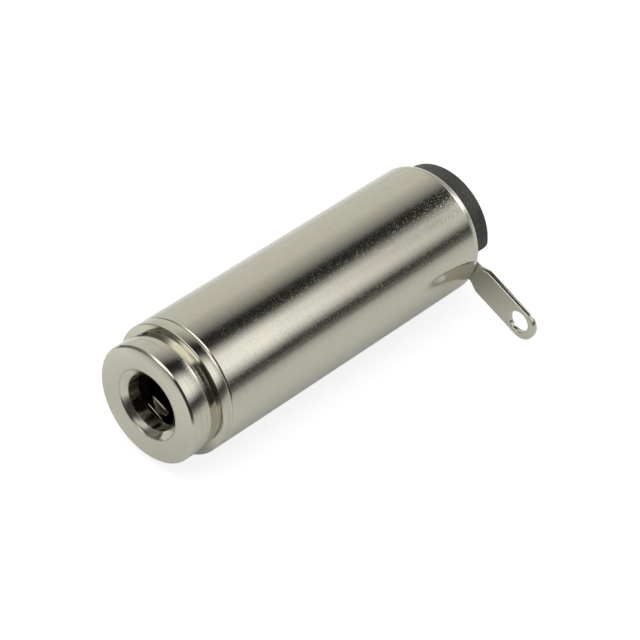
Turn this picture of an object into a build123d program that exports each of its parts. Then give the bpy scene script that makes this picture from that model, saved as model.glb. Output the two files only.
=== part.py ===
"""
Inline jack socket, 3.5 mm, three contacts, as a bare insert.

Frame: the origin is the centre of the front face, on the plug's axis. +Y runs
rearwards along that axis, +Z is up and +X is the side that the solder lug
leans to. The socket lies on its tube and on the tip of its lug.
Section values are (distance behind the front face, distance from the axis).
"""

import os
from math import asin, cos, degrees, radians, sin, sqrt

from build123d import *

# Plug that the socket takes
plug_r = 1.75

# Turned front bush
bore_r = 1.8
mouth_r = 2.32
mouth_depth = 0.31
mouth_crease = 12.0
land_end = 1.13
cavity_r = 2.6
flange_r = 3.75
flange_len = 1.4
face_chamfer = 0.11
groove_r = 3.65
groove_w = 0.55
collar_len = 0.75
spigot_len = 2.4
edge_break = 0.05

# Drawn shell tube, its rear edge rolled in over the insulator
body_r = 4.15
tube_wall = 0.4
shell_len = 24.1
lip_height = 0.53
rim_round = 0.42
front_edge = 0.1

# Black mouldings inside the tube
way_end = 15.5
way_r = 1.86
way_lead = 0.25
boss_len = 1.4
boss_edge = 0.15
notch_w = 2.4
notch_depth = 1.2
notch_corner = 0.45

# Earth lug, stamped and bent from sheet
lug_sheet = 0.35
lug_edge = 0.05
lug_neck = 1.4
lug_width = 2.05
lug_neck_out = 0.65
lug_end_r = 8.3
lug_hole_r = 0.715
lug_hole_in = 0.2
lug_bend = 0.25
way_to_band = 1.0
band_len = 3.0
band_over = 12.0
band_to_grip = 0.7
jog_to_rim = 1.2
jog_len = 0.7

# Contact springs, stamped from thinner sheet
leaf_sheet = 0.25
leaf_width = 1.4
leaf_bend = 0.4
leaf_corner = 0.2
crest_bend = 0.55
nose_bend = 0.15
tag_len = 2.2
tag_hole_r = 0.35
tag_hole_in = 0.9

sleeve_crest = (1.73, 1.35)
sleeve_lip = (1.465, 2.03)
sleeve_nose_r = 2.02
sleeve_nose_rear = 3.1
sleeve_dive_to_bush = 0.8
sleeve_dive_len = 1.7

ring_crest = (8.1, 1.4)
ring_lip = (7.0, 2.1)
ring_run_r = 2.0
ring_ramp = 1.6

tip_crest = (11.3, 1.2)
tip_lip = (10.2, 2.0)
tip_run_r = 2.3
tip_ramp = 1.5
tip_jog_to_way = 1.7
tip_jog_len = 1.4

# Clearances
seat_gap = 0.03
moulding_gap = 0.05
face_gap = 0.02
band_end_gap = 2.0
tail_lip_gap = 0.2
leaf_side_gap = 0.1
leaf_grip_gap = 0.17
leaf_reach_gap = 0.25
slot_end_gap = 0.6

# Stations along the axis that follow from the values above
collar_front = flange_len + groove_w
collar_end = collar_front + collar_len
tube_front = collar_end + face_gap
spigot_end = collar_end + spigot_len
carrier_front = spigot_end + face_gap
sleeve_dive_front = spigot_end + sleeve_dive_to_bush
sleeve_dive_rear = sleeve_dive_front + sleeve_dive_len
cap_front = way_end + face_gap
tip_jog_front = way_end + tip_jog_to_way
tip_jog_rear = tip_jog_front + tip_jog_len
shoulder = shell_len - tube_wall - face_gap
boss_end = shell_len + boss_len
band_front = way_end + way_to_band
band_end = band_front + band_len
grip_front = band_end + band_to_grip
jog_rear = shell_len - jog_to_rim
jog_front = jog_rear - jog_len
lug_front = shell_len + face_gap
lug_mid = lug_front + lug_sheet / 2
tag_end = boss_end + tag_len

# Radii, and the half widths and heights of slots
tube_inner_r = body_r - tube_wall
lip_r = body_r - lip_height
spigot_r = tube_inner_r - seat_gap
moulding_r = tube_inner_r - moulding_gap
boss_r = lip_r - seat_gap
notch_floor_r = boss_r - notch_depth
slot_half = leaf_width / 2 + leaf_side_gap
grip_half = leaf_sheet / 2 + leaf_grip_gap
slot_top_r = tip_run_r + leaf_sheet / 2 + plug_r - tip_crest[1] + leaf_reach_gap


def flat_strip_r(round_wall_r, strip_width):
    """Radius at which the outer face of a flat strip touches a round wall with its edges."""
    return sqrt(round_wall_r**2 - (strip_width / 2) ** 2)


band_r = tube_inner_r - seat_gap - lug_sheet / 2
band_seat_r = band_r - lug_sheet / 2 - seat_gap
tail_r = flat_strip_r(tube_inner_r - seat_gap, lug_neck) - lug_sheet / 2
tail_lip_r = flat_strip_r(lip_r - tail_lip_gap, lug_neck) - lug_sheet / 2
sleeve_run_r = flat_strip_r(band_seat_r, leaf_width) - leaf_sheet / 2
lug_root_r = tail_lip_r + lug_bend + lug_sheet
seat_over = band_over + band_end_gap

# The lug leans down until its rounded end meets the plane that the tube lies on
lug_angle = -degrees(asin((body_r - lug_width / 2) / lug_end_r))
sleeve_angle = lug_angle - 90
ring_angle = lug_angle + 180
tip_angle = lug_angle + 90

rearwards = Vector(0, 1, 0)


def outwards(angle):
    """Direction away from the axis, turned by angle from +X towards +Z."""
    return Vector(cos(radians(angle)), 0, sin(radians(angle)))


def section_plane(angle=0.0):
    """Lengthwise plane through the axis: local x runs rearwards, local y outwards."""
    return Plane(origin=(0, 0, 0), x_dir=rearwards, z_dir=rearwards.cross(outwards(angle)))


def flat_plane(angle):
    """Lengthwise plane through the axis that faces outwards: local x runs rearwards."""
    return Plane(origin=(0, 0, 0), x_dir=rearwards, z_dir=outwards(angle))


def cross_plane(distance):
    """Plane across the axis: local x points to the lug, local y to the sleeve contact."""
    return Plane(origin=(0, distance, 0), x_dir=outwards(lug_angle), z_dir=rearwards)


def slot_face(front, rear, low, high):
    """Rectangle between two stations and two radii, in a lengthwise plane."""
    with Locations(((front + rear) / 2, (low + high) / 2)):
        Rectangle(rear - front, high - low)


def contact_spring(angle, path, bends, rear_end, hole_r=0.0):
    """Strip of spring sheet bent along path, with rounded corners and a pierced rear end."""
    front_end = path[-1][0] - leaf_sheet / 2
    with BuildPart() as spring:
        with BuildSketch(section_plane(angle)):
            with BuildLine():
                FilletPolyline(*path, radius=bends)
            trace(line_width=leaf_sheet)
        extrude(amount=leaf_width / 2, both=True)
        with BuildSketch(flat_plane(angle)):
            with Locations(((front_end + rear_end) / 2, 0)):
                RectangleRounded(rear_end - front_end, leaf_width, leaf_corner)
            if hole_r > 0:
                with Locations((rear_end - tag_hole_in, 0)):
                    Circle(hole_r, mode=Mode.SUBTRACT)
        extrude(amount=body_r, both=True, mode=Mode.INTERSECT)
    return spring


# The mouth leaves the front face at a slight crease and rolls in towards the bore
mouth_start = (sin(radians(mouth_crease)), -cos(radians(mouth_crease)))

with BuildPart() as front_bush:
    with BuildSketch(section_plane()):
        with BuildLine():
            Polyline(
                (mouth_depth, bore_r),
                (land_end, bore_r),
                (land_end, cavity_r),
                (spigot_end, cavity_r),
                (spigot_end, spigot_r),
                (collar_end, spigot_r),
                (collar_end, body_r - edge_break),
                (collar_end - edge_break, body_r),
                (collar_front + edge_break, body_r),
                (collar_front, body_r - edge_break),
                (collar_front, groove_r),
                (flange_len, groove_r),
                (flange_len, flange_r - edge_break),
                (flange_len - edge_break, flange_r),
                (face_chamfer, flange_r),
                (0, flange_r - face_chamfer),
                (0, mouth_r),
            )
            TangentArc((0, mouth_r), (mouth_depth, bore_r), tangent=mouth_start)
        make_face()
    revolve(axis=Axis.Y)

with BuildPart() as shell_tube:
    with BuildSketch(section_plane()):
        with BuildLine():
            FilletPolyline(
                (tube_front + front_edge, body_r),
                (shell_len, body_r),
                (shell_len, lip_r),
                radius=rim_round,
            )
            Polyline(
                (shell_len, lip_r),
                (shell_len - tube_wall, lip_r),
                (shell_len - tube_wall, tube_inner_r),
                (tube_front, tube_inner_r),
                (tube_front, body_r - front_edge),
                (tube_front + front_edge, body_r),
            )
        make_face()
    revolve(axis=Axis.Y)

with BuildPart() as front_insulator:
    with BuildSketch(cross_plane(carrier_front)):
        Circle(moulding_r)
        Circle(way_r, mode=Mode.SUBTRACT)
    extrude(amount=way_end - carrier_front)
    front_circles = front_insulator.edges().filter_by(GeomType.CIRCLE).group_by(Axis.Y)[0]
    chamfer(front_circles.sort_by(SortBy.RADIUS)[0], way_lead)
    # Slots for the ring and tip contacts, open to the plug's way and to the rear
    for angle, lip in ((ring_angle, ring_lip), (tip_angle, tip_lip)):
        with BuildSketch(section_plane(angle)):
            slot_face(lip[0] - slot_end_gap, way_end, 0, slot_top_r)
        extrude(amount=slot_half, both=True, mode=Mode.SUBTRACT)
    # Channel for the sleeve contact, open to the tube, and its way in to the plug
    with BuildSketch(section_plane(sleeve_angle)):
        slot_face(carrier_front, way_end, sleeve_run_r - leaf_sheet / 2 - seat_gap, body_r)
        slot_face(carrier_front, sleeve_dive_rear + leaf_bend, 0, body_r)
    extrude(amount=slot_half, both=True, mode=Mode.SUBTRACT)

with BuildPart() as rear_insulator:
    with BuildSketch(cross_plane(cap_front)):
        Circle(moulding_r)
    extrude(amount=shoulder - cap_front)
    with BuildSketch(cross_plane(shoulder)):
        Circle(boss_r)
    extrude(amount=boss_end - shoulder)
    fillet(rear_insulator.faces().sort_by(Axis.Y)[-1].edges(), boss_edge)
    # Channels for the sleeve contact's root and for the lug's tail
    with BuildSketch(section_plane(sleeve_angle)):
        slot_face(cap_front, band_end + seat_gap, sleeve_run_r - leaf_sheet / 2 - seat_gap, body_r)
    extrude(amount=slot_half, both=True, mode=Mode.SUBTRACT)
    with BuildSketch(section_plane(lug_angle)):
        slot_face(band_front - seat_gap, boss_end, tail_lip_r - lug_sheet / 2 - seat_gap, body_r)
    extrude(amount=lug_neck / 2 + leaf_side_gap, both=True, mode=Mode.SUBTRACT)
    # Seat for the lug's band
    with BuildSketch(cross_plane(band_front - seat_gap)):
        with BuildLine():
            CenterArc((0, 0), (band_seat_r + body_r) / 2, -seat_over, 90 + 2 * seat_over)
        trace(line_width=body_r - band_seat_r)
    extrude(amount=band_len + 2 * seat_gap, mode=Mode.SUBTRACT)
    # Notch in the boss, where the lug turns outwards, its mouth rounded
    notch_side = notch_w / 2
    notch_mouth = notch_side + notch_corner
    with BuildSketch(flat_plane(lug_angle).offset(notch_floor_r)):
        with BuildLine():
            TangentArc(
                (boss_end - notch_corner, notch_side), (boss_end, notch_mouth), tangent=(1, 0)
            )
            Polyline(
                (boss_end, notch_mouth),
                (boss_end + notch_corner, notch_mouth),
                (boss_end + notch_corner, -notch_mouth),
                (boss_end, -notch_mouth),
            )
            TangentArc(
                (boss_end, -notch_mouth), (boss_end - notch_corner, -notch_side), tangent=(0, 1)
            )
            Polyline(
                (boss_end - notch_corner, -notch_side),
                (shell_len, -notch_side),
                (shell_len, notch_side),
                (boss_end - notch_corner, notch_side),
            )
        make_face()
    extrude(amount=body_r - notch_floor_r, mode=Mode.SUBTRACT)
    # Grips for the contacts whose tags come out behind, and pockets in front of them
    for angle, root_r in ((ring_angle, ring_run_r), (tip_angle, 0)):
        with BuildSketch(section_plane(angle)):
            slot_face(cap_front, boss_end, root_r - grip_half, root_r + grip_half)
            slot_face(cap_front, grip_front, root_r - grip_half, slot_top_r)
        extrude(amount=slot_half, both=True, mode=Mode.SUBTRACT)

with BuildPart() as earth_lug:
    # Blade, with rounded end and pierced hole, its edges broken by tumbling
    with BuildSketch(cross_plane(lug_front)):
        with BuildLine():
            Polyline(
                (lug_end_r, -lug_width / 2),
                (body_r + lug_neck_out, -lug_width / 2),
                (body_r, -lug_neck / 2),
                (lug_root_r, -lug_neck / 2),
                (lug_root_r, lug_neck / 2),
                (body_r, lug_neck / 2),
                (body_r + lug_neck_out, lug_width / 2),
                (lug_end_r, lug_width / 2),
            )
            ThreePointArc(
                (lug_end_r, lug_width / 2),
                (lug_end_r + lug_width / 2, 0),
                (lug_end_r, -lug_width / 2),
            )
        make_face()
        with Locations((lug_end_r - lug_hole_in, 0)):
            Circle(lug_hole_r, mode=Mode.SUBTRACT)
    extrude(amount=lug_sheet)
    lug_axis = Axis((0, 0, 0), outwards(lug_angle))
    blade_edges = earth_lug.faces().filter_by(Axis.Y).edges().sort_by(lug_axis)
    chamfer(blade_edges[2:], lug_edge)
    # Tail, from the rim back in under the lip and forwards along the tube
    with BuildSketch(section_plane(lug_angle)):
        with BuildLine():
            FilletPolyline(
                (band_front, tail_r),
                (jog_front, tail_r),
                (jog_rear, tail_lip_r),
                (lug_mid, tail_lip_r),
                (lug_mid, lug_root_r),
                radius=[lug_bend, lug_bend, lug_bend + lug_sheet / 2],
            )
        trace(line_width=lug_sheet)
    extrude(amount=lug_neck / 2, both=True)
    # Band that springs against the tube
    with BuildSketch(cross_plane(band_front)):
        with BuildLine():
            CenterArc((0, 0), band_r, -band_over, 90 + 2 * band_over)
        trace(line_width=lug_sheet)
    extrude(amount=band_len)

sleeve_contact = contact_spring(
    sleeve_angle,
    [
        (band_end, sleeve_run_r),
        (sleeve_dive_rear, sleeve_run_r),
        (sleeve_dive_front, sleeve_nose_r),
        (sleeve_nose_rear, sleeve_nose_r),
        (sleeve_crest[0], sleeve_crest[1] + leaf_sheet / 2),
        sleeve_lip,
    ],
    [leaf_bend, leaf_bend, leaf_bend, nose_bend],
    band_end,
)

ring_contact = contact_spring(
    ring_angle,
    [
        (tag_end, ring_run_r),
        (ring_crest[0] + ring_ramp, ring_run_r),
        (ring_crest[0], ring_crest[1] + leaf_sheet / 2),
        ring_lip,
    ],
    [leaf_bend, crest_bend],
    tag_end,
    tag_hole_r,
)

tip_contact = contact_spring(
    tip_angle,
    [
        (tag_end, 0),
        (tip_jog_rear, 0),
        (tip_jog_front, tip_run_r),
        (tip_crest[0] + tip_ramp, tip_run_r),
        (tip_crest[0], tip_crest[1] + leaf_sheet / 2),
        tip_lip,
    ],
    [leaf_bend, leaf_bend, leaf_bend, crest_bend],
    tag_end,
    tag_hole_r,
)

pieces = {
    "front_bush": front_bush,
    "shell_tube": shell_tube,
    "front_insulator": front_insulator,
    "rear_insulator": rear_insulator,
    "earth_lug": earth_lug,
    "sleeve_contact": sleeve_contact,
    "ring_contact": ring_contact,
    "tip_contact": tip_contact,
}
os.makedirs("parts", exist_ok=True)
for name, piece in pieces.items():
    piece.part.label = name
    export_step(piece.part, f"parts/{name}.step")
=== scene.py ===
from math import atan2, cos, pi, radians, sin, sqrt, tan

import bmesh
import bpy
from mathutils import Matrix, Vector


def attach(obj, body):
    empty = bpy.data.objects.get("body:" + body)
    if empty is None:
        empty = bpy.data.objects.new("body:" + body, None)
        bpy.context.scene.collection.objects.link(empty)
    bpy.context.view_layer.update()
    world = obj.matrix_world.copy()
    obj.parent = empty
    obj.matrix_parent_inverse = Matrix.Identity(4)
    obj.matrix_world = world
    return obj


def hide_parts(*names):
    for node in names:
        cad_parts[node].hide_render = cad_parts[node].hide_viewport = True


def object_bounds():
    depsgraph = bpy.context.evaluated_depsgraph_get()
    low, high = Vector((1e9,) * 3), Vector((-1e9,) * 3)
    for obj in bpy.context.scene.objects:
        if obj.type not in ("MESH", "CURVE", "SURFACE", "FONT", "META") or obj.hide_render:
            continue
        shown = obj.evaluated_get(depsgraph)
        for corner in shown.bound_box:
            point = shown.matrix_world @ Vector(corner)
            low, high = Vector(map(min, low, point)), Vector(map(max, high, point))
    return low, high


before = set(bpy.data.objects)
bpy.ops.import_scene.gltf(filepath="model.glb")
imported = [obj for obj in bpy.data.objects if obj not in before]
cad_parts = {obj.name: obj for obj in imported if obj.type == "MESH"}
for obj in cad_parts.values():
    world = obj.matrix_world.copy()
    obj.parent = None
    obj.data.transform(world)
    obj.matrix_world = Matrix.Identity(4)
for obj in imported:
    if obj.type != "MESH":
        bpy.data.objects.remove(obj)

mm = 0.001
nearby = 2e-7  # in metres, how near to a place a point counts as being there
softAngle = 35  # in degrees, flatter edges are shaded smooth
sharpAngle = 40  # in degrees, sharper edges are broken
cadBox = [list(corner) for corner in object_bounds()]


# mesh work, done with the same tools as by hand

def startPiece(name):
    piece = bpy.context.object
    piece.name = name
    piece.data.name = name
    bpy.ops.object.transform_apply(location=True, rotation=True, scale=True)
    bpy.ops.object.mode_set(mode="EDIT")
    return piece


def pick(piece, kind, test):
    bpy.ops.mesh.select_mode(type=kind)
    bpy.ops.mesh.select_all(action="DESELECT")
    mesh = bmesh.from_edit_mesh(piece.data)
    for part in {"VERT": mesh.verts, "EDGE": mesh.edges}[kind]:
        if test(part):
            part.select_set(True)
    bmesh.update_edit_mesh(piece.data)


def onRing(edge, y, r):
    return all(
        abs(v.co.y - y * mm) < nearby and abs(sqrt(v.co.x ** 2 + v.co.z ** 2) - r * mm) < nearby
        for v in edge.verts
    )


def acrossAt(edge, y, h):
    return all(abs(v.co.y - y * mm) < nearby and abs(v.co.x - h * mm) < nearby for v in edge.verts)


def finishPiece(piece, body, nodes, material):
    bpy.ops.mesh.select_all(action="SELECT")
    bpy.ops.mesh.normals_make_consistent(inside=False)
    bpy.ops.object.mode_set(mode="OBJECT")
    bpy.ops.object.shade_smooth_by_angle(angle=radians(softAngle))
    flats = piece.modifiers.new("flats", "WEIGHTED_NORMAL")
    flats.keep_sharp = True
    flats.weight = 60  # over 50, large faces count for more
    applyModifiers(piece)
    piece.data.materials.clear()
    piece.data.materials.append(material)
    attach(piece, body)
    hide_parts(*nodes)


def applyModifiers(piece):
    for modifier in list(piece.modifiers):
        bpy.ops.object.modifier_apply(modifier=modifier.name)


def turnPiece(name, profile, segments, stepsPerMm=30):
    # profile: distance behind the front face, radius, rounding of that edge, all in mm
    bpy.ops.object.select_all(action="DESELECT")
    y, r = profile[0][:2]
    bpy.ops.mesh.primitive_circle_add(
        vertices=segments, radius=r * mm, location=(0, y * mm, 0), rotation=(pi / 2, 0, 0)
    )
    piece = startPiece(name)
    bpy.ops.mesh.select_all(action="SELECT")
    for nextY, nextR, _ in profile[1:] + profile[:1]:
        bpy.ops.mesh.extrude_edges_move(TRANSFORM_OT_translate={"value": (0, (nextY - y) * mm, 0)})
        bpy.ops.transform.resize(value=(nextR / r, 1, nextR / r), center_override=(0, nextY * mm, 0))
        y, r = nextY, nextR
    bpy.ops.mesh.select_all(action="SELECT")
    bpy.ops.mesh.remove_doubles(threshold=nearby / 2)
    for stationY, stationR, rounding in profile:
        if rounding > 0:
            pick(piece, "EDGE", lambda edge: onRing(edge, stationY, stationR))
            bpy.ops.mesh.bevel(
                offset=rounding * mm, segments=max(3, round(rounding * stepsPerMm)), affect="EDGES"
            )
    return piece


def bendSheet(name, path, radii, width, steps=8):
    # path: distance behind the front face and height over the axis, in mm, on the +X side
    bpy.ops.object.select_all(action="DESELECT")
    (y0, h0), (y1, h1) = path[:2]
    bpy.ops.mesh.primitive_plane_add(size=1, location=(0, 0, 0))
    piece = startPiece(name)
    mesh = bmesh.from_edit_mesh(piece.data)
    for v in mesh.verts:
        side = width / 2 if v.co.y > 0 else -width / 2
        y, h = (y0, h0) if v.co.x < 0 else (y1, h1)
        v.co = Vector((h, y, side)) * mm
    bmesh.update_edit_mesh(piece.data)
    for (fromY, fromH), (toY, toH) in zip(path[1:-1], path[2:]):
        pick(piece, "EDGE", lambda edge: acrossAt(edge, fromY, fromH))
        bpy.ops.mesh.extrude_edges_move(
            TRANSFORM_OT_translate={"value": ((toH - fromH) * mm, (toY - fromY) * mm, 0)}
        )
    for place, radius in zip(range(1, len(path) - 1), radii):
        before = (Vector(path[place]) - Vector(path[place - 1])).normalized()
        after = (Vector(path[place + 1]) - Vector(path[place])).normalized()
        turn = before.angle(after)
        pick(piece, "EDGE", lambda edge: acrossAt(edge, *path[place]))
        bpy.ops.mesh.bevel(offset=radius * tan(turn / 2) * mm, segments=steps, affect="EDGES")
    return piece


def roundCorners(piece, corners, radius, segments):
    # corners: distance behind the front face, height and place across, in mm
    def isCorner(v):
        return any((v.co - Vector((h, y, w)) * mm).length < nearby for y, h, w in corners)
    pick(piece, "VERT", isCorner)
    bpy.ops.mesh.bevel(offset=radius * mm, segments=segments, affect="VERTICES")


def thickenSheet(piece, sheet):
    bpy.ops.mesh.select_all(action="SELECT")
    bpy.ops.mesh.remove_doubles(threshold=nearby)
    bpy.ops.object.mode_set(mode="OBJECT")
    wall = piece.modifiers.new("wall", "SOLIDIFY")
    wall.thickness = sheet * mm
    wall.offset = 0  # half to each side of the path
    wall.use_even_offset = True
    applyModifiers(piece)


def pierce(piece, place, along, radius, segments, depth=2):
    # a hole at place, in mm as its depth is, its length lying along the given axis letter
    turn = {"X": (0, pi / 2, 0), "Y": (pi / 2, 0, 0)}[along]
    bpy.ops.object.select_all(action="DESELECT")
    bpy.ops.mesh.primitive_cylinder_add(
        vertices=segments, radius=radius * mm, depth=depth * mm,
        location=Vector(place) * mm, rotation=turn,
    )
    combine(piece, bpy.context.object, "DIFFERENCE")


def combine(piece, other, operation):
    bpy.ops.object.select_all(action="DESELECT")
    piece.select_set(True)
    bpy.context.view_layer.objects.active = piece
    joiner = piece.modifiers.new("joiner", "BOOLEAN")
    joiner.operation = operation
    joiner.solver = "EXACT"
    joiner.object = other
    applyModifiers(piece)
    bpy.data.objects.remove(other)


def breakEdges(piece, width, segments):
    soften = piece.modifiers.new("soften", "BEVEL")
    soften.width = width * mm
    soften.segments = segments
    soften.limit_method = "ANGLE"
    soften.angle_limit = radians(sharpAngle)
    soften.use_clamp_overlap = True
    applyModifiers(piece)


def turnAboutAxis(piece, degrees):
    # from +X towards +Z
    piece.rotation_euler = (0, -radians(degrees), 0)
    bpy.ops.object.transform_apply(location=True, rotation=True, scale=True)
    bpy.ops.object.mode_set(mode="EDIT")


# node work, for the materials and the studio

def newMaterial(name):
    material = bpy.data.materials.new(name)
    material.use_nodes = True
    material.node_tree.nodes.clear()
    return material, material.node_tree


def newGroup(name, inputs, outputs):
    group = bpy.data.node_groups.new(name, "ShaderNodeTree")
    for title, kind, value in inputs:
        socket = group.interface.new_socket(name=title, in_out="INPUT", socket_type=kind)
        socket.default_value = value
    for title, kind in outputs:
        group.interface.new_socket(name=title, in_out="OUTPUT", socket_type=kind)
    return group, addNode(group, "NodeGroupInput"), addNode(group, "NodeGroupOutput")


def addNode(tree, kind, inputs=None, **settings):
    node = tree.nodes.new(kind)
    for key, value in settings.items():
        setattr(node, key, value)
    for key, value in (inputs or {}).items():
        node.inputs[key].default_value = value
    return node


def mathNode(tree, operation, first, second=None, third=None, clamp=False):
    node = addNode(tree, "ShaderNodeMath", operation=operation, use_clamp=clamp)
    for slot, value in enumerate((first, second, third)):
        if value is None:
            continue
        if isinstance(value, (int, float)):
            node.inputs[slot].default_value = value
        else:
            tree.links.new(value, node.inputs[slot])
    return node.outputs[0]


def mixColours(tree, factor, first, second, blend="MIX"):
    mix = addNode(tree, "ShaderNodeMix", data_type="RGBA", blend_type=blend)
    for slot, value in (("Factor", factor), ("A", first), ("B", second)):
        if isinstance(value, (int, float, tuple)):
            mix.inputs[slot].default_value = value
        else:
            tree.links.new(value, mix.inputs[slot])
    return mix.outputs["Result"]


def remap(tree, value, low, high, least=0.0, most=1.0, kind="LINEAR"):
    # least where the value is at low, most where it is at high, and never past either
    node = addNode(tree, "ShaderNodeMapRange", {
        "From Min": low, "From Max": high, "To Min": least, "To Max": most,
    }, interpolation_type=kind)
    tree.links.new(value, node.inputs["Value"])
    return node.outputs["Result"]


def smoothStep(tree, value, low, high):
    return remap(tree, value, low, high, kind="SMOOTHSTEP")


def swing(tree, noise, spread, middle):
    # the noise's swing round a half, made a swing round another value
    return mathNode(tree, "MULTIPLY_ADD", mathNode(tree, "SUBTRACT", noise, 0.5), spread, middle)


def middleThird(tree, noise):
    # 0 up to a third of the noise's range, 1 from two thirds on
    return mathNode(tree, "MULTIPLY_ADD", noise, 3.0, -1.0, clamp=True)


def axes(tree, vector):
    split = addNode(tree, "ShaderNodeSeparateXYZ")
    tree.links.new(vector, split.inputs[0])
    return split.outputs


def stretched(tree, vector, factors):
    stretch = addNode(tree, "ShaderNodeVectorMath", {1: factors}, operation="MULTIPLY")
    tree.links.new(vector, stretch.inputs[0])
    return stretch.outputs[0]


def degreesRound(tree, x, z):
    # round the length axis, from +X up towards +Z
    return mathNode(tree, "MULTIPLY", mathNode(tree, "ARCTAN2", z, x), 180 / pi)


def inMillimetres(tree):
    coords = addNode(tree, "ShaderNodeTexCoord")
    scale = addNode(tree, "ShaderNodeVectorMath", operation="SCALE")
    scale.inputs["Scale"].default_value = 1 / mm
    tree.links.new(coords.outputs["Object"], scale.inputs[0])
    return scale.outputs[0]


def carve(tree, height, shader):
    # height: in mm, out of the surface
    bump = addNode(tree, "ShaderNodeBump", {"Strength": 1.0, "Distance": mm})
    tree.links.new(height, bump.inputs["Height"])
    tree.links.new(bump.outputs["Normal"], shader.inputs["Normal"])


def grey(level):
    return (level, level, level, 1)


def makeLatheLines():
    # fine tool lines that run round the length axis, on barrels and on end faces alike
    group, given, out = newGroup(
        "latheLines",
        [("Lines", "NodeSocketFloat", 8.0), ("Breakup", "NodeSocketFloat", 1.2)],
        [("Height", "NodeSocketFloat")],
    )
    link = group.links.new
    x, y, z = axes(group, inMillimetres(group))
    squares = mathNode(group, "ADD", mathNode(group, "MULTIPLY", x, x),
                       mathNode(group, "MULTIPLY", z, z))
    radius = mathNode(group, "SQRT", squares)
    divisor = mathNode(group, "MAXIMUM", radius, 0.01)  # never nothing, not even on the axis
    travel = mathNode(group, "SUBTRACT", y, radius)
    place = addNode(group, "ShaderNodeCombineXYZ")
    link(mathNode(group, "MULTIPLY", travel, given.outputs["Lines"]), place.inputs[0])
    for slot, part in ((1, x), (2, z)):
        turned = mathNode(group, "DIVIDE", part, divisor)
        link(mathNode(group, "MULTIPLY", turned, given.outputs["Breakup"]), place.inputs[slot])
    noise = addNode(group, "ShaderNodeTexNoise", {"Scale": 1.0, "Detail": 2.0, "Roughness": 0.5})
    link(place.outputs[0], noise.inputs["Vector"])
    link(noise.outputs["Fac"], out.inputs["Height"])
    return group


def makePlatingMottle():
    # cloudy patches and tiny specks in a bright plating
    group, given, out = newGroup(
        "platingMottle",
        [("Cloud Scale", "NodeSocketFloat", 0.6), ("Grain Scale", "NodeSocketFloat", 9.0)],
        [("Cloud", "NodeSocketFloat"), ("Grain", "NodeSocketFloat"), ("Specks", "NodeSocketFloat")],
    )
    link = group.links.new
    place = inMillimetres(group)
    cloud = addNode(group, "ShaderNodeTexNoise", {"Detail": 5.0, "Roughness": 0.6, "Distortion": 0.4})
    grain = addNode(group, "ShaderNodeTexNoise", {"Detail": 3.0, "Roughness": 0.7})
    dots = addNode(group, "ShaderNodeTexNoise", {"Detail": 1.5, "Roughness": 0.5})
    for node, scale in ((cloud, "Cloud Scale"), (grain, "Grain Scale"), (dots, "Grain Scale")):
        link(place, node.inputs["Vector"])
        link(given.outputs[scale], node.inputs["Scale"])
    noSpeck, fullSpeck = 0.57, 0.64  # heights of the finest noise
    link(cloud.outputs["Fac"], out.inputs["Cloud"])
    link(grain.outputs["Fac"], out.inputs["Grain"])
    link(remap(group, dots.outputs["Fac"], noSpeck, fullSpeck), out.inputs["Specks"])
    return group


latheLines = makeLatheLines()
platingMottle = makePlatingMottle()


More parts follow.
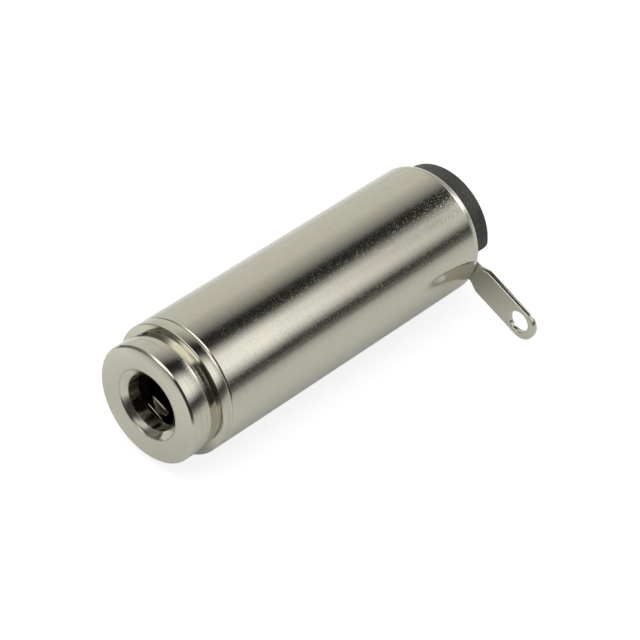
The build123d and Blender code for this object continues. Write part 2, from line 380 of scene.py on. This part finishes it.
def makeNickel(name, look):
    material, tree = newMaterial(name)
    link = tree.links.new
    shader = addNode(tree, "ShaderNodeBsdfPrincipled", {"Metallic": 1.0, "IOR": 1.5})
    out = addNode(tree, "ShaderNodeOutputMaterial")
    mottle = addNode(tree, "ShaderNodeGroup", node_tree=platingMottle)
    mottle.inputs["Cloud Scale"].default_value = look["cloudScale"]
    mottle.inputs["Grain Scale"].default_value = look["grainScale"]
    cloud, grain, specks = mottle.outputs

    # colour: plating with a faint warm and cool drift, darker in its pits, with painted shade in the
    # bore and round the mouth's crease
    colour = mixColours(tree, middleThird(tree, cloud), look["coolColour"], look["warmColour"])
    pits = mathNode(tree, "MULTIPLY", specks, look["pits"])
    colour = mixColours(tree, pits, colour, look["pitAndCreaseShadeColour"], "MULTIPLY")
    if look["lineDepth"] > 0:
        facing = axes(tree, addNode(tree, "ShaderNodeTexCoord").outputs["Normal"])
        endFace = mathNode(tree, "ABSOLUTE", facing["Y"])
        lineShare = mathNode(tree, "MULTIPLY_ADD", endFace, look["faceLines"] - 1, 1.0)
        lines = addNode(tree, "ShaderNodeGroup", node_tree=latheLines)
        lines.inputs["Lines"].default_value = look["lines"]
        lines.inputs["Breakup"].default_value = look["lineBreakup"]
        dull = remap(tree, lines.outputs["Height"], *look["lineEdge"], most=look["lineShade"])
        dull = mathNode(tree, "MULTIPLY", dull, lineShare)
        colour = mixColours(tree, dull, colour, look["lineColour"], "MULTIPLY")
    if look["boreRough"] > 0:
        length = addNode(tree, "ShaderNodeVectorMath", operation="LENGTH")
        link(stretched(tree, inMillimetres(tree), (1, 0, 1)), length.inputs[0])
        radius = length.outputs["Value"]
        inside = remap(tree, radius, *look["boreEdge"])
        # painted shade: the colour inside the bore is made darker and browner
        colour = mixColours(tree, inside, colour, look["boreShadeColour"])
        # painted shade: the colour is darkened in a ring round the mouth's crease
        offCrease = mathNode(tree, "ABSOLUTE", mathNode(tree, "SUBTRACT", radius, look["creaseR"]))
        paintedCreaseShade = remap(tree, offCrease, *look["creaseFade"], most=look["creaseShade"])
        colour = mixColours(tree, paintedCreaseShade, colour, look["pitAndCreaseShadeColour"], "MULTIPLY")
    if look["tinned"]:
        y = axes(tree, inMillimetres(tree))["Y"]
        ragged = mathNode(tree, "MULTIPLY_ADD", cloud, look["tinRagged"], y)
        colour = mixColours(tree, remap(tree, ragged, *look["tinEdge"]), colour, look["tinned"])
    link(colour, shader.inputs["Base Color"])

    # roughness: clouds and grain round the finish of the metal, streaks along the bore
    rough = swing(tree, cloud, look["cloudSpread"], look["roughness"])
    rough = swing(tree, grain, look["grainSpread"], rough)
    if look["boreRough"] > 0:
        streaks = addNode(tree, "ShaderNodeTexNoise", {"Scale": 1.0, "Detail": 2.0})
        link(stretched(tree, inMillimetres(tree), look["streakScale"]), streaks.inputs["Vector"])
        worn = remap(tree, streaks.outputs["Fac"], *look["streakEdge"], least=look["streakLeast"])
        drag = mathNode(tree, "MULTIPLY", worn, look["boreRough"])
        rough = mathNode(tree, "MULTIPLY_ADD", inside, drag, rough)
        specks = mathNode(tree, "MULTIPLY", specks, mathNode(tree, "SUBTRACT", 1.0, inside))
    rough = mathNode(tree, "MULTIPLY_ADD", specks, look["speckRough"], rough, clamp=True)
    link(rough, shader.inputs["Roughness"])

    # height: tool lines, then grain and pits
    height = mathNode(tree, "MULTIPLY", grain, look["grainDepth"])
    height = mathNode(tree, "MULTIPLY_ADD", specks, -look["pitDepth"], height)
    if look["lineDepth"] > 0:
        cut = mathNode(tree, "MULTIPLY", lineShare, look["lineDepth"])
        height = mathNode(tree, "MULTIPLY_ADD", lines.outputs["Height"], cut, height)
    carve(tree, height, shader)
    link(shader.outputs[0], out.inputs[0])
    return material


plating = {  # lengths in mm, scales per mm
    "coolColour": (0.55, 0.54, 0.465, 1),
    "warmColour": (0.567, 0.54, 0.452, 1),
    "pitAndCreaseShadeColour": (0.62, 0.60, 0.56, 1),
    "roughness": 0.06,
    "cloudScale": 0.5,
    "cloudSpread": 0.05,
    "grainScale": 11.0,
    "grainSpread": 0.04,
    "grainDepth": 0.0025,
    "pits": 0.04,
    "pitDepth": 0.0008,
    "speckRough": 0.184,
    "tinned": None,  # the colour of the tinned end, where there is one
    "tinEdge": (24.6, 25.6),  # behind the front face, where it starts and where it is full
    "tinRagged": 0.6,  # how far the clouds pull that edge about
    "boreRough": 0,
    # painted shade inside the bore
    "boreShadeColour": (0.42, 0.375, 0.30, 1),
    "boreEdge": (1.84, 1.81),  # radii, outside the bore and in it
    "streakScale": (1.7, 0.3, 1.7),
    "streakEdge": (0.45, 0.62),  # of the streak pattern, from smoother to rougher
    "streakLeast": 0.3,
    # the mouth's crease, round which the colour is darkened as painted shade
    "creaseR": 2.27,  # round the mouth
    "creaseFade": (0.09, 0.02),  # how far from it its painted shade starts, and where it is full
    "creaseShade": 0.45,
    "lines": 12.0,
    "lineBreakup": 1.6,
    "lineDepth": 0.0010,
    "lineEdge": (0.5, 0.3),  # of the line pattern, from bright to dull
    "lineShade": 0.5,
    "lineColour": (0.72, 0.71, 0.68, 1),
    "faceLines": 0.15,  # how much of the lines is left on end faces
}
turnedNickel = makeNickel("turnedNickel", {
    **plating, "boreRough": 0.65, "speckRough": 0.04,
    "lines": 10.0, "lineDepth": 0.0018, "lineShade": 0.65,
})
drawnNickel = makeNickel("drawnNickel", {
    **plating, "lines": 6.0, "lineDepth": 0.0008, "lineBreakup": 2.0, "lineShade": 0.12,
})
stampedNickel = makeNickel("stampedNickel", {
    **plating, "lineDepth": 0, "roughness": 0.14,
    "grainScale": 7.0, "grainDepth": 0.002, "speckRough": 0.08,
})
# painted shade: the bare spring colour is kept dark for the springs deep in the socket; the tinned
# end keeps its own colour
springMetal = makeNickel("springMetal", {
    **plating, "lineDepth": 0, "roughness": 0.1, "grainDepth": 0.001, "speckRough": 0.1,
    "coolColour": (0.20, 0.195, 0.165, 1), "warmColour": (0.22, 0.205, 0.165, 1),
    "tinned": (0.60, 0.59, 0.55, 1),
})

mouldedLook = {  # depths in mm, scales per mm
    "colour": (0.012, 0.012, 0.009, 1),
    "cloudColour": (0.044, 0.044, 0.036, 1),
    "speckColour": (0.16, 0.16, 0.145, 1),
    "specular": 0.45,
    "roughness": 0.5,
    "roughSpread": 0.3,
    "cloudScale": 3.6,
    "fleckScale": 5.6,
    "fleckEdge": (0.2, 0.05),  # from a fleck's rim in to where it is full
    "fleckShare": 0.9,
    "grainScale": 14.0,
    "grainDepth": 0.010,
    "waveScale": 1.3,
    "waveDepth": 0.03,
}


def makeMoulding(look):
    material, tree = newMaterial("blackMoulding")
    link = tree.links.new
    shader = addNode(tree, "ShaderNodeBsdfPrincipled", {"Specular IOR Level": look["specular"]})
    out = addNode(tree, "ShaderNodeOutputMaterial")
    place = inMillimetres(tree)
    grain = addNode(tree, "ShaderNodeTexNoise", {
        "Scale": look["grainScale"], "Detail": 4.0, "Roughness": 0.7,
    })
    wave = addNode(tree, "ShaderNodeTexNoise", {"Scale": look["waveScale"], "Detail": 3.0})
    flecks = addNode(tree, "ShaderNodeTexVoronoi", {"Scale": look["fleckScale"]}, feature="F1")
    cloud = addNode(tree, "ShaderNodeTexNoise", {
        "Scale": look["cloudScale"], "Detail": 5.0, "Roughness": 0.75,
    })
    for node in (grain, wave, flecks, cloud):
        link(place, node.inputs["Vector"])
    cloudy = middleThird(tree, cloud.outputs["Fac"])
    colour = mixColours(tree, cloudy, look["colour"], look["cloudColour"])
    fleck = remap(tree, flecks.outputs["Distance"], *look["fleckEdge"])
    dust = mathNode(tree, "MULTIPLY", grain.outputs["Fac"], look["fleckShare"])
    dust = mathNode(tree, "MULTIPLY", fleck, dust)
    link(mixColours(tree, dust, colour, look["speckColour"]), shader.inputs["Base Color"])
    rough = swing(tree, wave.outputs["Fac"], look["roughSpread"], look["roughness"])
    link(rough, shader.inputs["Roughness"])
    height = mathNode(tree, "MULTIPLY", grain.outputs["Fac"], look["grainDepth"])
    height = mathNode(tree, "MULTIPLY_ADD", wave.outputs["Fac"], look["waveDepth"], height)
    carve(tree, height, shader)
    link(shader.outputs[0], out.inputs[0])
    return material


blackMoulding = makeMoulding(mouldedLook)
print("materials made")

# turned bush: flange, groove and collar seen, spigot inside the tube
bush = {  # in mm, the crease's angle in degrees
    "boreR": 1.8, "landEnd": 1.13, "cavityR": 2.6,
    "mouthR": 2.29, "mouthDepth": 0.31, "mouthCrease": 26, "mouthSteps": 8,
    "creaseWidth": 0.10, "creaseDepth": 0.016, "creaseInner": 0.008,
    "flangeR": 3.75, "flangeEnd": 1.4, "faceChamfer": 0.11, "grooveR": 3.65,
    "collarFront": 1.95, "collarR": 4.15, "collarEnd": 2.7, "spigotR": 3.72, "spigotEnd": 5.1,
    "edge": 0.045, "creaseEdge": 0.02, "creaseInnerEdge": 0.015, "mouthEdge": 0.006,
    "innerEdge": 0.02, "spigotEdge": 0.05, "grooveFillet": 0.015, "chamferEdge": 0.025,
    "segments": 320,
}


def mouthCurve():
    # arc from the edge of the face, at a slight crease, in to the edge of the bore
    start = Vector((0, bush["mouthR"]))
    end = Vector((bush["mouthDepth"], bush["boreR"]))
    chord = end - start
    first = radians(bush["mouthCrease"])
    half = atan2(chord.x, -chord.y) - first
    radius = chord.length / (2 * sin(half))
    points = []
    for step in range(1, bush["mouthSteps"] + 1):
        turned = first + 2 * half * step / bush["mouthSteps"]
        points.append((start.x + radius * (cos(first) - cos(turned)),
                       start.y - radius * (sin(turned) - sin(first))))
    return points


def makeBush():
    curve = mouthCurve()
    crease = bush["creaseWidth"] / 2
    profile = [
        (0, bush["mouthR"] + crease, bush["creaseEdge"]),
        (bush["creaseDepth"], bush["mouthR"], bush["creaseEdge"]),
        (bush["creaseInner"], bush["mouthR"] - crease, bush["creaseInnerEdge"]),
        *((y, r, 0) for y, r in curve[:-1]),
        (*curve[-1], bush["mouthEdge"]),
        (bush["landEnd"], bush["boreR"], bush["innerEdge"]),
        (bush["landEnd"], bush["cavityR"], 0),
        (bush["spigotEnd"], bush["cavityR"], bush["innerEdge"]),
        (bush["spigotEnd"], bush["spigotR"], bush["spigotEdge"]),
        (bush["collarEnd"], bush["spigotR"], 0),
        (bush["collarEnd"], bush["collarR"], bush["edge"]),
        (bush["collarFront"], bush["collarR"], bush["edge"]),
        (bush["collarFront"], bush["grooveR"], bush["grooveFillet"]),
        (bush["flangeEnd"], bush["grooveR"], bush["grooveFillet"]),
        (bush["flangeEnd"], bush["flangeR"], bush["edge"]),
        (bush["faceChamfer"], bush["flangeR"], bush["chamferEdge"]),
        (0, bush["flangeR"] - bush["faceChamfer"], bush["chamferEdge"]),
    ]
    piece = turnPiece("turnedBush", profile, bush["segments"])
    finishPiece(piece, "socket", ["front_bush"], turnedNickel)


makeBush()
print("bush turned")

# drawn tube, its rear edge rolled in
tube = {  # in mm
    "front": 2.72, "length": 24.1, "outerR": 4.15, "innerR": 3.75, "lipR": 3.62, "shoulder": 23.7,
    "rim": [(23.64, 4.15, 0.1), (24.0, 4.03, 0.06), (24.1, 3.84, 0.04)],
    "divisions": (8.0, 14.0, 20.0),  # rings between its two ends
    "frontEdge": 0.13, "innerEdge": 0.02, "lipEdge": 0.03, "segments": 320,
}


def makeTube():
    profile = [
        (tube["front"], tube["innerR"], tube["innerEdge"]),
        (tube["front"], tube["outerR"], tube["frontEdge"]),
        *((y, tube["outerR"], 0) for y in tube["divisions"]),
        *tube["rim"],
        (tube["length"], tube["lipR"], tube["lipEdge"]),
        (tube["shoulder"], tube["lipR"], tube["lipEdge"]),
        (tube["shoulder"], tube["innerR"], 0),
    ]
    piece = turnPiece("drawnTube", profile, tube["segments"])
    finishPiece(piece, "socket", ["shell_tube"], drawnNickel)


makeTube()
print("tube drawn")

# solder lug: blade outside, tail and sprung band inside
lugLean = -22.117  # in degrees, from +X towards +Z
lug = {  # in mm, how far the band goes over its quarter turn in degrees
    "sheet": 0.35, "edge": 0.1, "edgeSteps": 3,
    "path": [(16.6, 3.479), (22.2, 3.479), (22.9, 3.172), (24.295, 3.172), (24.295, 4.15)],
    "bends": [0.25, 0.25, 0.425],
    "neck": 1.4, "neckEnd": 4.8, "bladeY": 24.295, "width": 2.05,
    "endR": 8.3, "endSteps": 20, "endGap": 0.001,  # the gap keeps the end's two roundings apart
    "holeR": 0.715, "holeAt": 8.1, "holeEdge": 0.05, "holeSides": 64,
    "bandR": 3.545, "bandFront": 16.5, "bandEnd": 19.5, "bandOver": 12, "bandSides": 144,
    "bandThinner": 0.002,  # keeps the band's faces off the tail's
}


def makeLug():
    piece = bendSheet("solderLug", lug["path"], lug["bends"], lug["neck"])
    blade = [(lug["neckEnd"], lug["width"]), (lug["endR"] + lug["width"] / 2, lug["width"])]
    height, width = lug["path"][-1][1], lug["neck"]
    for nextHeight, nextWidth in blade:
        pick(piece, "EDGE", lambda edge: acrossAt(edge, lug["bladeY"], height))
        bpy.ops.mesh.extrude_edges_move(
            TRANSFORM_OT_translate={"value": ((nextHeight - height) * mm, 0, 0)}
        )
        bpy.ops.transform.resize(
            value=(1, 1, nextWidth / width),
            center_override=(nextHeight * mm, lug["bladeY"] * mm, 0),
        )
        height, width = nextHeight, nextWidth
    ends = [(lug["bladeY"], height, side) for side in (-width / 2, width / 2)]
    roundCorners(piece, ends, width / 2 - lug["endGap"], lug["endSteps"])
    thickenSheet(piece, lug["sheet"])
    breakEdges(piece, lug["edge"], lug["edgeSteps"])
    pierce(piece, (lug["holeAt"], lug["bladeY"], 0), "Y", lug["holeR"], lug["holeSides"])
    softenHole(piece)
    combine(piece, makeBand(), "UNION")
    turnAboutAxis(piece, lugLean)
    finishPiece(piece, "socket", ["earth_lug"], stampedNickel)


def softenHole(piece):
    centre = Vector((lug["holeAt"], lug["bladeY"], 0)) * mm
    wander = 20 * nearby  # the cut leaves the hole's points a little off their circle

    def onHole(edge):
        flat = [Vector((v.co.x - centre.x, v.co.z)) for v in edge.verts]
        level = edge.verts[0].co.y - edge.verts[1].co.y
        return abs(level) < nearby / 2 and all(
            abs(v.length - lug["holeR"] * mm) < wander for v in flat
        )
    bpy.ops.object.mode_set(mode="EDIT")
    pick(piece, "EDGE", onHole)
    bpy.ops.mesh.bevel(offset=lug["holeEdge"] * mm, segments=lug["edgeSteps"], affect="EDGES")
    bpy.ops.object.mode_set(mode="OBJECT")


def makeBand():
    # a quarter of a ring, and a little over at each end
    bpy.ops.object.select_all(action="DESELECT")
    middle = (lug["bandFront"] + lug["bandEnd"]) / 2
    bpy.ops.mesh.primitive_cylinder_add(
        vertices=lug["bandSides"], radius=lug["bandR"] * mm,
        depth=(lug["bandEnd"] - lug["bandFront"]) * mm, end_fill_type="NOTHING",
        location=(0, middle * mm, 0), rotation=(pi / 2, 0, 0),
    )
    band = startPiece("band")
    over = radians(lug["bandOver"])
    for normal in ((sin(over), 0, -cos(over)), (cos(over), 0, -sin(over))):
        bpy.ops.mesh.select_all(action="SELECT")
        bpy.ops.mesh.bisect(plane_co=(0, 0, 0), plane_no=normal, clear_inner=True)
    thickenSheet(band, lug["sheet"] - lug["bandThinner"])
    return band


makeLug()
print("lug bent")

# contact springs, from thinner sheet
leaf = {  # in mm
    "sheet": 0.25, "width": 1.4, "edge": 0.03, "edgeSteps": 2, "cornerSteps": 5,
    "tagHoleIn": 0.9, "tagHoleSides": 32,
}
contacts = {
    "sleeveLeaf": {
        "node": "sleeve_contact", "body": "sleeve_leaf", "lean": lugLean - 90,
        "path": [
            (19.1, 3.136), (7.6, 3.136), (5.9, 2.02), (3.1, 2.02), (1.77, 1.485),
            (1.54, 2.01), (1.47, 2.05),
        ],
        "bends": [0.4, 0.4, 0.4, 0.03, 0.05], "tag": 0, "corner": 0.15,
    },
    "ringLeaf": {
        "node": "ring_contact", "body": "ring_leaf", "lean": lugLean + 180,
        "path": [(27.7, 2.0), (9.7, 2.0), (8.1, 1.525), (7.0, 2.1)],
        "bends": [0.4, 0.55], "tag": 0.35, "corner": 0.2,
    },
    "tipLeaf": {
        "node": "tip_contact", "body": "tip_leaf", "lean": lugLean + 90,
        "path": [(27.7, 0.0), (18.6, 0.0), (17.2, 2.3), (12.8, 2.3), (11.3, 1.325), (10.2, 2.0)],
        "bends": [0.4, 0.4, 0.4, 0.55], "tag": 0.35, "corner": 0.2,
    },
}


def makeContact(name, contact):
    path = contact["path"]
    piece = bendSheet(name, path, contact["bends"], leaf["width"])
    sides = (-leaf["width"] / 2, leaf["width"] / 2)
    ends = [(*path[end], side) for end in (0, -1) for side in sides]
    roundCorners(piece, ends, contact["corner"], leaf["cornerSteps"])
    thickenSheet(piece, leaf["sheet"])
    if contact["tag"] > 0:
        hole = (path[0][1], path[0][0] - leaf["tagHoleIn"], 0)
        pierce(piece, hole, "X", contact["tag"], leaf["tagHoleSides"])
    breakEdges(piece, leaf["edge"], leaf["edgeSteps"])
    turnAboutAxis(piece, contact["lean"])
    finishPiece(piece, contact["body"], [contact["node"]], springMetal)


for name, contact in contacts.items():
    makeContact(name, contact)
print("contacts bent")

# the two mouldings keep their shape, and get their finish
for name in ("front_insulator", "rear_insulator"):
    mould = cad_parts[name]
    mould.data.materials.clear()
    mould.data.materials.append(blackMoulding)

# studio: soft walls and a pale floor, as the metal sees them
rampScale = 0.25  # ramp colours are kept low, and are raised again after it


def wallRamp(tree, steps, value):
    # brightness along a value that runs from the first step's place to the last one's
    low, high = steps[0][0], steps[-1][0]
    ramp = addNode(tree, "ShaderNodeValToRGB")
    for step in steps[1:-1]:
        ramp.color_ramp.elements.new((step[0] - low) / (high - low))
    for element, (_, level, *tint) in zip(ramp.color_ramp.elements, steps):
        red, green, blue = tint[0] if tint else (1, 1, 1)
        element.color = (
            level * red * rampScale, level * green * rampScale, level * blue * rampScale, 1
        )
    tree.links.new(remap(tree, value, low, high), ramp.inputs["Fac"])
    return ramp.outputs["Color"]


warm = (1, 0.995, 0.93)
walls = {  # degrees above +X round the length axis, the brightness there, and its tint
    "rear": [
        (-180, 0.84, warm), (-8, 0.72), (0, 0.25), (5, 0.10), (13, 0.07), (19, 0.30), (27, 0.70),
        (36, 0.86), (48, 0.68), (56, 0.73), (66, 0.36), (74, 0.07), (84, 0.025), (92, 0.05),
        (100, 0.27), (108, 0.45, warm), (116, 0.58, warm), (124, 0.70, warm), (132, 0.81, warm),
        (142, 0.83, warm), (180, 0.84, warm),
    ],
    "front": [
        (-180, 0.3), (-152, 0.3), (-140, 0.45), (-30, 0.45), (-12, 0.06), (62, 0.05), (68, 0.3),
        (72, 2.2), (116, 2.2), (124, 1.4), (132, 0.5), (142, 0.3), (150, 0.24), (170, 0.24),
        (180, 0.3),
    ],
    "ahead": [  # straight before the mouth
        (-180, 0.5), (0, 0.1), (20, 0.08), (70, 0.1), (98, 0.3), (122, 0.85), (143, 0.85),
        (152, 0.45), (161, 0.1), (170, 0.1), (180, 0.4),
    ],
    "end": [  # past the rear end
        (-180, 0.8), (20, 0.5), (30, 0.6), (42, 1.8), (50, 2.8), (70, 2.8), (80, 1.6), (94, 0.6),
        (140, 0.5), (180, 0.8),
    ],
    "rearEdge": (-0.3, 0.2),  # how far a direction points rearwards, where each wall takes over
    "aheadEdge": (-0.80, -0.86),
    "endEdge": (0.69, 0.78),
    "poleEdge": (0.965, 0.99),
    "aheadRise": (0.06, 0.16),  # the same upwards, over a dim foot of the wall ahead
    "aheadDim": 0.08,
    "poleLevel": 1.6,
}


def makeWorld():
    world = bpy.data.worlds.new("studioWalls")
    bpy.context.scene.world = world
    world.use_nodes = True
    tree = world.node_tree
    tree.nodes.clear()
    link = tree.links.new
    x, y, z = axes(tree, addNode(tree, "ShaderNodeTexCoord").outputs["Generated"])
    angle = degreesRound(tree, x, z)
    rear, front, ahead, end = (
        wallRamp(tree, walls[side], angle) for side in ("rear", "front", "ahead", "end")
    )
    rise = smoothStep(tree, z, *walls["aheadRise"])
    ahead = mixColours(tree, rise, grey(walls["aheadDim"] * rampScale), ahead)
    pole = grey(walls["poleLevel"] * rampScale)
    seen = mixColours(tree, smoothStep(tree, y, *walls["rearEdge"]), front, rear)
    seen = mixColours(tree, smoothStep(tree, y, *walls["aheadEdge"]), seen, ahead)
    seen = mixColours(tree, smoothStep(tree, y, *walls["endEdge"]), seen, end)
    seen = mixColours(tree, smoothStep(tree, y, *walls["poleEdge"]), seen, pole)
    glow = addNode(tree, "ShaderNodeBackground", {"Strength": 1 / rampScale})
    link(seen, glow.inputs["Color"])
    plain = addNode(tree, "ShaderNodeBackground", {"Color": grey(1)})
    path = addNode(tree, "ShaderNodeLightPath")
    mix = addNode(tree, "ShaderNodeMixShader")
    out = addNode(tree, "ShaderNodeOutputWorld")
    link(path.outputs["Is Camera Ray"], mix.inputs["Fac"])
    link(glow.outputs[0], mix.inputs[1])
    link(plain.outputs[0], mix.inputs[2])
    link(mix.outputs[0], out.inputs[0])


floorLook = {
    "size": 1.2,  # in metres
    "colour": grey(0.50),
    "tint": (0.985, 1.0, 0.98),
    "ownLight": 0.22,  # lifts the shadow under the tube
    "forCamera": (0.4, 0.85),  # how much of the shadow is left there, and the white under it
    "across": [  # mm to the +X side, and how bright reflections see the floor there
        (-600, 1.05), (-60, 1.02), (-23, 1.05), (-13, 1.12), (-10, 1.14), (-7, 0.96), (-5, 0.98),
        (-3.7, 0.97), (-2.7, 1.03), (-1, 1.14), (0.5, 1.12), (1.4, 0.92), (2.2, 0.78),
        (2.9, 0.76), (3.6, 0.95), (6, 0.93), (7.5, 0.97), (15, 0.95), (27, 0.84), (41, 0.70),
        (84, 0.52), (160, 0.30), (300, 0.18),
    ],
    "along": [  # the same along Y
        (-300, 0.08), (-40, 0.08), (-17, 0.12), (-11, 0.3), (-8.6, 0.7), (-7.2, 1.14),
        (-5.5, 1.1), (-3.5, 1.0), (-1, 1.05), (1, 1.1), (3, 1.12), (5, 1.0), (300, 1.0),
    ],
}


def makeFloor():
    floorHeight = cadBox[0][2]
    bpy.ops.object.select_all(action="DESELECT")
    bpy.ops.mesh.primitive_plane_add(size=floorLook["size"], location=(0, 0, floorHeight))
    floor = bpy.context.object
    floor.name = "floor"
    material, tree = newMaterial("paleFloor")
    link = tree.links.new
    x, y, z = axes(tree, inMillimetres(tree))
    across, along = wallRamp(tree, floorLook["across"], x), wallRamp(tree, floorLook["along"], y)
    tint = tuple(level / rampScale for level in floorLook["tint"]) + (1,)
    faded = mixColours(tree, 1.0, across, along, "MULTIPLY")
    faded = mixColours(tree, 1.0, faded, grey(1 / rampScale), "MULTIPLY")
    faded = mixColours(tree, 1.0, faded, tint, "MULTIPLY")
    path = addNode(tree, "ShaderNodeLightPath")
    toCamera = path.outputs["Is Camera Ray"]
    shadowLeft, white = floorLook["forCamera"]
    shade = mixColours(tree, path.outputs["Is Glossy Ray"], grey(1), faded)
    paint = mixColours(tree, 1.0, shade, floorLook["colour"], "MULTIPLY")
    paint = mixColours(tree, toCamera, paint, grey(shadowLeft / 2))
    diffuse = addNode(tree, "ShaderNodeBsdfDiffuse")
    link(paint, diffuse.inputs["Color"])
    glow = addNode(tree, "ShaderNodeEmission")
    link(shade, glow.inputs["Color"])
    ownLight = floorLook["ownLight"]
    strength = mathNode(tree, "MULTIPLY_ADD", toCamera, white - ownLight, ownLight)
    link(strength, glow.inputs["Strength"])
    addUp(tree, diffuse, glow)
    floor.data.materials.append(material)


def addUp(tree, first, second):
    add = addNode(tree, "ShaderNodeAddShader")
    out = addNode(tree, "ShaderNodeOutputMaterial")
    tree.links.new(first.outputs[0], add.inputs[0])
    tree.links.new(second.outputs[0], add.inputs[1])
    tree.links.new(add.outputs[0], out.inputs[0])


panelLook = {  # places in metres, angles in degrees above +X
    "slant": 44, "reach": 0.12105, "width": 0.14, "middle": 0.06, "length": 0.16,
    "glow": 0.66, "lowFade": (8, 46), "highFade": (76, 48),
    "rearFade": (0.118, 0.084), "frontFade": (-0.02, 0.03),
}


def makePanel():
    # soft light near the socket, bright over the nose and fading towards the rear
    bpy.ops.object.select_all(action="DESELECT")
    bpy.ops.mesh.primitive_plane_add(size=1)
    panel = startPiece("softPanel")
    mesh = bmesh.from_edit_mesh(panel.data)
    slant = radians(panelLook["slant"])
    centre = Vector((cos(slant), 0, sin(slant))) * panelLook["reach"]
    side = Vector((-sin(slant), 0, cos(slant))) * panelLook["width"]
    for v in mesh.verts:
        rearwards = panelLook["middle"] + v.co.y * panelLook["length"]
        v.co = centre + side * v.co.x + Vector((0, rearwards, 0))
    bmesh.update_edit_mesh(panel.data)
    bpy.ops.object.mode_set(mode="OBJECT")
    material, tree = newMaterial("panelGlow")
    x, y, z = axes(tree, addNode(tree, "ShaderNodeTexCoord").outputs["Object"])
    angle = degreesRound(tree, x, z)
    across = mathNode(tree, "MULTIPLY", smoothStep(tree, angle, *panelLook["lowFade"]),
                      smoothStep(tree, angle, *panelLook["highFade"]))
    along = mathNode(tree, "MULTIPLY", smoothStep(tree, y, *panelLook["rearFade"]),
                     smoothStep(tree, y, *panelLook["frontFade"]))
    lit = mathNode(tree, "MULTIPLY", across, along)
    glow = addNode(tree, "ShaderNodeEmission")
    tree.links.new(mathNode(tree, "MULTIPLY", lit, panelLook["glow"]), glow.inputs["Strength"])
    addUp(tree, addNode(tree, "ShaderNodeBsdfTransparent"), glow)
    panel.data.materials.append(material)
    panel.visible_camera = False
    panel.visible_shadow = False
    panel.visible_diffuse = False


lampLook = {"size": 0.30, "power": 0.5, "place": (0.02, 0.0138, 0.30)}  # in metres and watts


def makeLamp():
    lamp = bpy.data.lights.new("softLamp", "AREA")
    lamp.shape = "SQUARE"
    lamp.size = lampLook["size"]
    lamp.energy = lampLook["power"]
    holder = bpy.data.objects.new("softLamp", lamp)
    holder.location = lampLook["place"]
    holder.visible_glossy = False
    bpy.context.scene.collection.objects.link(holder)


view = {  # solved from the socket's outlines
    "place": (0.08868, -0.09116, 0.11216),
    "right": (0.73166, 0.67901, 0.06015),
    "down": (0.46841, -0.43668, -0.76805),
    "ahead": (-0.49525, 0.59013, -0.63756),
    "lens": 169.4,
    "sensor": 36,
    "clip": (0.01, 10),
}


def makeCamera():
    data = bpy.data.cameras.new("camera")
    data.lens = view["lens"]
    data.sensor_width = view["sensor"]
    data.clip_start, data.clip_end = view["clip"]
    camera = bpy.data.objects.new("camera", data)
    right, down, ahead = (Vector(view[key]) for key in ("right", "down", "ahead"))
    turn = Matrix((right, -down, -ahead)).transposed().to_4x4()
    camera.matrix_world = Matrix.Translation(view["place"]) @ turn
    bpy.context.scene.collection.objects.link(camera)
    bpy.context.scene.camera = camera


makeWorld()
makeFloor()
makePanel()
makeLamp()
makeCamera()
bpy.context.scene.view_settings.view_transform = "Standard"
print("studio ready")
